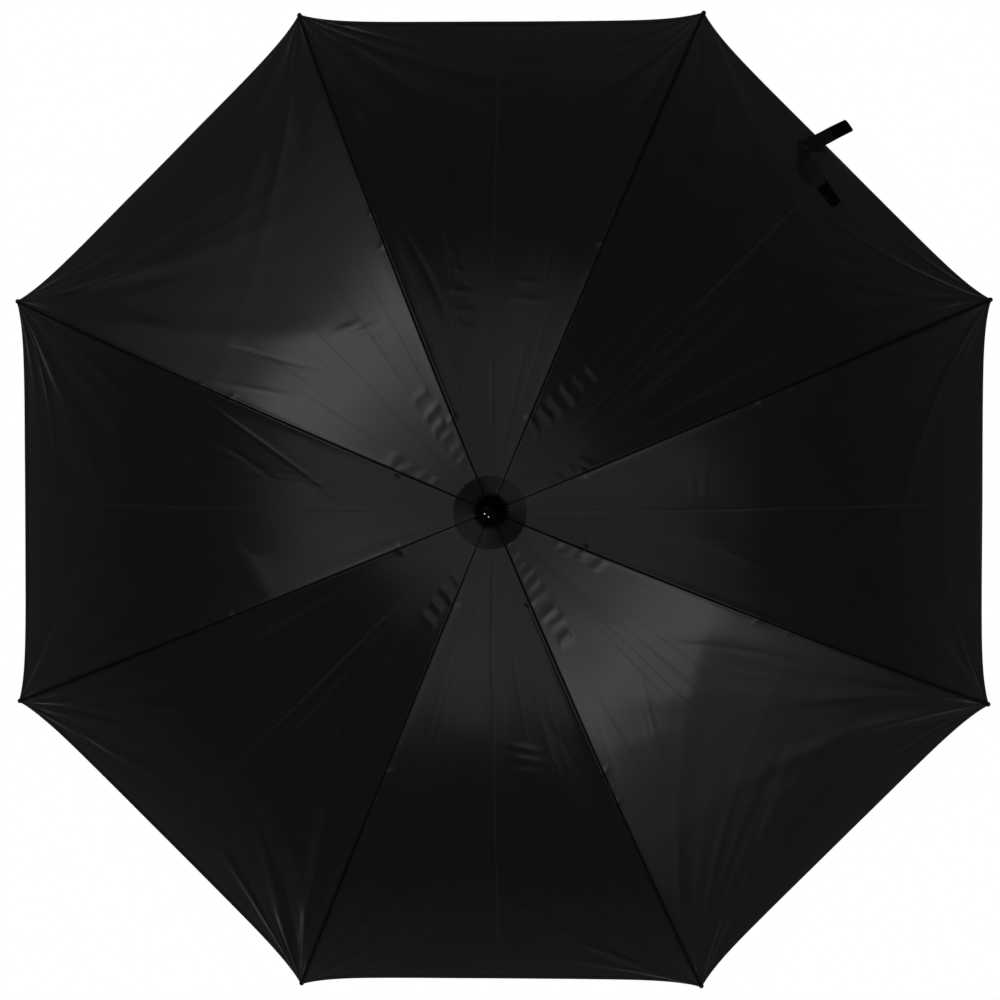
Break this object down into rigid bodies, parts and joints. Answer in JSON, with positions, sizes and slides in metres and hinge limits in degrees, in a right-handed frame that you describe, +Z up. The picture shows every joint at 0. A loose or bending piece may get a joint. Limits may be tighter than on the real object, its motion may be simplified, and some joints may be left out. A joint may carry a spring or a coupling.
{
  "type": "golf umbrella",
  "caption": "Large straight-handled umbrella with a domed cloth canopy on hinged ribs and stretchers, a sliding runner with spring catches, and a foam grip.",
  "frame": {"origin": "centre of the flat bottom face of the end cap under the grip", "axes": "+Z up along the shaft to the top cap; +X and +Y through the middles of two gores, so the ribs lie at 22.5 degrees and every 45 degrees after it"},
  "size_m": [1.2044, 1.2044, 0.98],
  "materials": {
    "cloth": "black satin-weave polyester pongee",
    "dull_cloth": "black plain-weave cloth",
    "gloss_plastic": "glossy black moulded plastic",
    "moulded_plastic": "black moulded nylon",
    "black_steel": "black powder-coated steel",
    "bright_steel": "bright spring steel",
    "glass_fibre": "black pultruded glass fibre",
    "foam": "black foam rubber"
  },
  "bodies": {
    "frame": {"shaft": "black_steel", "crown_notch": "moulded_plastic", "crown_wire": "bright_steel", "top_cap": "gloss_plastic", "outer_rosette": "dull_cloth", "grip": "foam", "end_cap": "moulded_plastic"},
    "rib_1": {"rib_1": "glass_fibre", "rib_joint_1": "moulded_plastic", "rib_tip_1": "gloss_plastic"},
    "stretcher_1": {"stretcher_1": "black_steel"},
    "rib_2": {"rib_2": "glass_fibre", "rib_joint_2": "moulded_plastic", "rib_tip_2": "gloss_plastic"},
    "stretcher_2": {"stretcher_2": "black_steel"},
    "rib_3": {"rib_3": "glass_fibre", "rib_joint_3": "moulded_plastic", "rib_tip_3": "gloss_plastic"},
    "stretcher_3": {"stretcher_3": "black_steel"},
    "rib_4": {"rib_4": "glass_fibre", "rib_joint_4": "moulded_plastic", "rib_tip_4": "gloss_plastic"},
    "stretcher_4": {"stretcher_4": "black_steel"},
    "rib_5": {"rib_5": "glass_fibre", "rib_joint_5": "moulded_plastic", "rib_tip_5": "gloss_plastic"},
    "stretcher_5": {"stretcher_5": "black_steel"},
    "rib_6": {"rib_6": "glass_fibre", "rib_joint_6": "moulded_plastic", "rib_tip_6": "gloss_plastic"},
    "stretcher_6": {"stretcher_6": "black_steel"},
    "rib_7": {"rib_7": "glass_fibre", "rib_joint_7": "moulded_plastic", "rib_tip_7": "gloss_plastic"},
    "stretcher_7": {"stretcher_7": "black_steel"},
    "rib_8": {"rib_8": "glass_fibre", "rib_joint_8": "moulded_plastic", "rib_tip_8": "gloss_plastic"},
    "stretcher_8": {"stretcher_8": "black_steel"},
    "runner": {"runner": "moulded_plastic", "runner_wire": "bright_steel"},
    "gore_1_first_half": {"canopy_gore_1_first_half": "cloth"},
    "gore_1_second_half": {"canopy_gore_1_second_half": "cloth", "tie_strap": "dull_cloth"},
    "gore_2_first_half": {"canopy_gore_2_first_half": "cloth"},
    "gore_2_second_half": {"canopy_gore_2_second_half": "cloth"},
    "gore_3_first_half": {"canopy_gore_3_first_half": "cloth"},
    "gore_3_second_half": {"canopy_gore_3_second_half": "cloth"},
    "gore_4_first_half": {"canopy_gore_4_first_half": "cloth"},
    "gore_4_second_half": {"canopy_gore_4_second_half": "cloth"},
    "gore_5_first_half": {"canopy_gore_5_first_half": "cloth"},
    "gore_5_second_half": {"canopy_gore_5_second_half": "cloth"},
    "gore_6_first_half": {"canopy_gore_6_first_half": "cloth"},
    "gore_6_second_half": {"canopy_gore_6_second_half": "cloth"},
    "gore_7_first_half": {"canopy_gore_7_first_half": "cloth"},
    "gore_7_second_half": {"canopy_gore_7_second_half": "cloth"},
    "gore_8_first_half": {"canopy_gore_8_first_half": "cloth"},
    "gore_8_second_half": {"canopy_gore_8_second_half": "cloth"},
    "top_catch": {"top_catch": "bright_steel"},
    "bottom_catch": {"bottom_catch": "bright_steel"}
  },
  "joints": [
    {"name": "fold", "type": "hinge", "parent": "frame", "child": "rib_1", "pos_m": [0.01062, 0.0044, 0.95], "axis": [-0.3827, 0.9239, 0], "range_deg": [0, 60], "deforming": ["canopy_gore_1_first_half", "canopy_gore_1_second_half", "canopy_gore_2_first_half", "canopy_gore_2_second_half", "canopy_gore_3_first_half", "canopy_gore_3_second_half", "canopy_gore_4_first_half", "canopy_gore_4_second_half", "canopy_gore_5_first_half", "canopy_gore_5_second_half", "canopy_gore_6_first_half", "canopy_gore_6_second_half", "canopy_gore_7_first_half", "canopy_gore_7_second_half", "canopy_gore_8_first_half", "canopy_gore_8_second_half", "outer_rosette", "tie_strap", "top_catch", "bottom_catch"]},
    {"name": "stretcher_1_swing", "type": "hinge", "parent": "rib_1", "child": "stretcher_1", "pos_m": [0.31431, 0.13019, 0.83725], "axis": [0.3827, -0.9239, 0], "range_deg": [0, 120]},
    {"name": "rib_2_swing", "type": "hinge", "parent": "frame", "child": "rib_2", "pos_m": [0.0044, 0.01062, 0.95], "axis": [-0.9239, 0.3827, 0], "range_deg": [0, 60]},
    {"name": "stretcher_2_swing", "type": "hinge", "parent": "rib_2", "child": "stretcher_2", "pos_m": [0.13019, 0.31431, 0.83725], "axis": [0.9239, -0.3827, 0], "range_deg": [0, 120]},
    {"name": "rib_3_swing", "type": "hinge", "parent": "frame", "child": "rib_3", "pos_m": [-0.0044, 0.01062, 0.95], "axis": [-0.9239, -0.3827, 0], "range_deg": [0, 60]},
    {"name": "stretcher_3_swing", "type": "hinge", "parent": "rib_3", "child": "stretcher_3", "pos_m": [-0.13019, 0.31431, 0.83725], "axis": [0.9239, 0.3827, 0], "range_deg": [0, 120]},
    {"name": "rib_4_swing", "type": "hinge", "parent": "frame", "child": "rib_4", "pos_m": [-0.01062, 0.0044, 0.95], "axis": [-0.3827, -0.9239, 0], "range_deg": [0, 60]},
    {"name": "stretcher_4_swing", "type": "hinge", "parent": "rib_4", "child": "stretcher_4", "pos_m": [-0.31431, 0.13019, 0.83725], "axis": [0.3827, 0.9239, 0], "range_deg": [0, 120]},
    {"name": "rib_5_swing", "type": "hinge", "parent": "frame", "child": "rib_5", "pos_m": [-0.01062, -0.0044, 0.95], "axis": [0.3827, -0.9239, 0], "range_deg": [0, 60]},
    {"name": "stretcher_5_swing", "type": "hinge", "parent": "rib_5", "child": "stretcher_5", "pos_m": [-0.31431, -0.13019, 0.83725], "axis": [-0.3827, 0.9239, 0], "range_deg": [0, 120]},
    {"name": "rib_6_swing", "type": "hinge", "parent": "frame", "child": "rib_6", "pos_m": [-0.0044, -0.01062, 0.95], "axis": [0.9239, -0.3827, 0], "range_deg": [0, 60]},
    {"name": "stretcher_6_swing", "type": "hinge", "parent": "rib_6", "child": "stretcher_6", "pos_m": [-0.13019, -0.31431, 0.83725], "axis": [-0.9239, 0.3827, 0], "range_deg": [0, 120]},
    {"name": "rib_7_swing", "type": "hinge", "parent": "frame", "child": "rib_7", "pos_m": [0.0044, -0.01062, 0.95], "axis": [0.9239, 0.3827, 0], "range_deg": [0, 60]},
    {"name": "stretcher_7_swing", "type": "hinge", "parent": "rib_7", "child": "stretcher_7", "pos_m": [0.13019, -0.31431, 0.83725], "axis": [-0.9239, -0.3827, 0], "range_deg": [0, 120]},
    {"name": "rib_8_swing", "type": "hinge", "parent": "frame", "child": "rib_8", "pos_m": [0.01062, -0.0044, 0.95], "axis": [0.3827, 0.9239, 0], "range_deg": [0, 60]},
    {"name": "stretcher_8_swing", "type": "hinge", "parent": "rib_8", "child": "stretcher_8", "pos_m": [0.31431, -0.13019, 0.83725], "axis": [-0.3827, -0.9239, 0], "range_deg": [0, 120]},
    {"name": "runner_on_stretcher_1", "type": "hinge", "parent": "stretcher_1", "child": "runner", "pos_m": [0.01062, 0.0044, 0.7245], "axis": [-0.3827, 0.9239, 0], "range_deg": [0, 60]},
    {"name": "gore_1_first_half_swing", "type": "hinge", "parent": "rib_1", "child": "gore_1_first_half", "pos_m": [0.01062, 0.0044, 0.95], "axis": [-0.3324, -0.868, -0.369], "range_deg": [0, 23.87]},
    {"name": "gore_1_second_half_swing", "type": "hinge", "parent": "rib_2", "child": "gore_1_second_half", "pos_m": [0.0044, 0.01062, 0.95], "axis": [0.868, 0.3324, 0.369], "range_deg": [0, 23.87]},
    {"name": "gore_2_first_half_swing", "type": "hinge", "parent": "rib_2", "child": "gore_2_first_half", "pos_m": [0.0044, 0.01062, 0.95], "axis": [0.3787, -0.8487, -0.369], "range_deg": [0, 23.87]},
    {"name": "gore_2_second_half_swing", "type": "hinge", "parent": "rib_3", "child": "gore_2_second_half", "pos_m": [-0.0044, 0.01062, 0.95], "axis": [0.3787, 0.8487, 0.369], "range_deg": [0, 23.87]},
    {"name": "gore_3_first_half_swing", "type": "hinge", "parent": "rib_3", "child": "gore_3_first_half", "pos_m": [-0.0044, 0.01062, 0.95], "axis": [0.868, -0.3324, -0.369], "range_deg": [0, 23.87]},
    {"name": "gore_3_second_half_swing", "type": "hinge", "parent": "rib_4", "child": "gore_3_second_half", "pos_m": [-0.01062, 0.0044, 0.95], "axis": [-0.3324, 0.868, 0.369], "range_deg": [0, 23.87]},
    {"name": "gore_4_first_half_swing", "type": "hinge", "parent": "rib_4", "child": "gore_4_first_half", "pos_m": [-0.01062, 0.0044, 0.95], "axis": [0.8487, 0.3787, -0.369], "range_deg": [0, 23.87]},
    {"name": "gore_4_second_half_swing", "type": "hinge", "parent": "rib_5", "child": "gore_4_second_half", "pos_m": [-0.01062, -0.0044, 0.95], "axis": [-0.8487, 0.3787, 0.369], "range_deg": [0, 23.87]},
    {"name": "gore_5_first_half_swing", "type": "hinge", "parent": "rib_5", "child": "gore_5_first_half", "pos_m": [-0.01062, -0.0044, 0.95], "axis": [0.3324, 0.868, -0.369], "range_deg": [0, 23.87]},
    {"name": "gore_5_second_half_swing", "type": "hinge", "parent": "rib_6", "child": "gore_5_second_half", "pos_m": [-0.0044, -0.01062, 0.95], "axis": [-0.868, -0.3324, 0.369], "range_deg": [0, 23.87]},
    {"name": "gore_6_first_half_swing", "type": "hinge", "parent": "rib_6", "child": "gore_6_first_half", "pos_m": [-0.0044, -0.01062, 0.95], "axis": [-0.3787, 0.8487, -0.369], "range_deg": [0, 23.87]},
    {"name": "gore_6_second_half_swing", "type": "hinge", "parent": "rib_7", "child": "gore_6_second_half", "pos_m": [0.0044, -0.01062, 0.95], "axis": [-0.3787, -0.8487, 0.369], "range_deg": [0, 23.87]},
    {"name": "gore_7_first_half_swing", "type": "hinge", "parent": "rib_7", "child": "gore_7_first_half", "pos_m": [0.0044, -0.01062, 0.95], "axis": [-0.868, 0.3324, -0.369], "range_deg": [0, 23.87]},
    {"name": "gore_7_second_half_swing", "type": "hinge", "parent": "rib_8", "child": "gore_7_second_half", "pos_m": [0.01062, -0.0044, 0.95], "axis": [0.3324, -0.868, 0.369], "range_deg": [0, 23.87]},
    {"name": "gore_8_first_half_swing", "type": "hinge", "parent": "rib_8", "child": "gore_8_first_half", "pos_m": [0.01062, -0.0044, 0.95], "axis": [-0.8487, -0.3787, -0.369], "range_deg": [0, 23.87]},
    {"name": "gore_8_second_half_swing", "type": "hinge", "parent": "rib_1", "child": "gore_8_second_half", "pos_m": [0.01062, 0.0044, 0.95], "axis": [0.8487, -0.3787, 0.369], "range_deg": [0, 23.87]},
    {"name": "top_catch_press", "type": "hinge", "parent": "frame", "child": "top_catch", "pos_m": [0, -0.0034, 0.6365], "axis": [-1, 0, 0], "range_deg": [0, 10], "stiffness_Nm_per_rad": 0.02, "springref_deg": -20.05},
    {"name": "bottom_catch_press", "type": "hinge", "parent": "frame", "child": "bottom_catch", "pos_m": [0, -0.0034, 0.24481], "axis": [1, 0, 0], "range_deg": [0, 10], "stiffness_Nm_per_rad": 0.02, "springref_deg": -20.05}
  ],
  "couplings": [
    {"joint": "stretcher_1_swing", "follows": "fold", "ratio": 2},
    {"joint": "rib_2_swing", "follows": "fold", "ratio": 1},
    {"joint": "stretcher_2_swing", "follows": "fold", "ratio": 2},
    {"joint": "rib_3_swing", "follows": "fold", "ratio": 1},
    {"joint": "stretcher_3_swing", "follows": "fold", "ratio": 2},
    {"joint": "rib_4_swing", "follows": "fold", "ratio": 1},
    {"joint": "stretcher_4_swing", "follows": "fold", "ratio": 2},
    {"joint": "rib_5_swing", "follows": "fold", "ratio": 1},
    {"joint": "stretcher_5_swing", "follows": "fold", "ratio": 2},
    {"joint": "rib_6_swing", "follows": "fold", "ratio": 1},
    {"joint": "stretcher_6_swing", "follows": "fold", "ratio": 2},
    {"joint": "rib_7_swing", "follows": "fold", "ratio": 1},
    {"joint": "stretcher_7_swing", "follows": "fold", "ratio": 2},
    {"joint": "rib_8_swing", "follows": "fold", "ratio": 1},
    {"joint": "stretcher_8_swing", "follows": "fold", "ratio": 2},
    {"joint": "runner_on_stretcher_1", "follows": "fold", "ratio": 1},
    {"joint": "gore_1_first_half_swing", "follows": "fold", "ratio": 0.39772},
    {"joint": "gore_1_second_half_swing", "follows": "fold", "ratio": 0.39772},
    {"joint": "gore_2_first_half_swing", "follows": "fold", "ratio": 0.39772},
    {"joint": "gore_2_second_half_swing", "follows": "fold", "ratio": 0.39772},
    {"joint": "gore_3_first_half_swing", "follows": "fold", "ratio": 0.39772},
    {"joint": "gore_3_second_half_swing", "follows": "fold", "ratio": 0.39772},
    {"joint": "gore_4_first_half_swing", "follows": "fold", "ratio": 0.39772},
    {"joint": "gore_4_second_half_swing", "follows": "fold", "ratio": 0.39772},
    {"joint": "gore_5_first_half_swing", "follows": "fold", "ratio": 0.39772},
    {"joint": "gore_5_second_half_swing", "follows": "fold", "ratio": 0.39772},
    {"joint": "gore_6_first_half_swing", "follows": "fold", "ratio": 0.39772},
    {"joint": "gore_6_second_half_swing", "follows": "fold", "ratio": 0.39772},
    {"joint": "gore_7_first_half_swing", "follows": "fold", "ratio": 0.39772},
    {"joint": "gore_7_second_half_swing", "follows": "fold", "ratio": 0.39772},
    {"joint": "gore_8_first_half_swing", "follows": "fold", "ratio": 0.39772},
    {"joint": "gore_8_second_half_swing", "follows": "fold", "ratio": 0.39772}
  ]
}
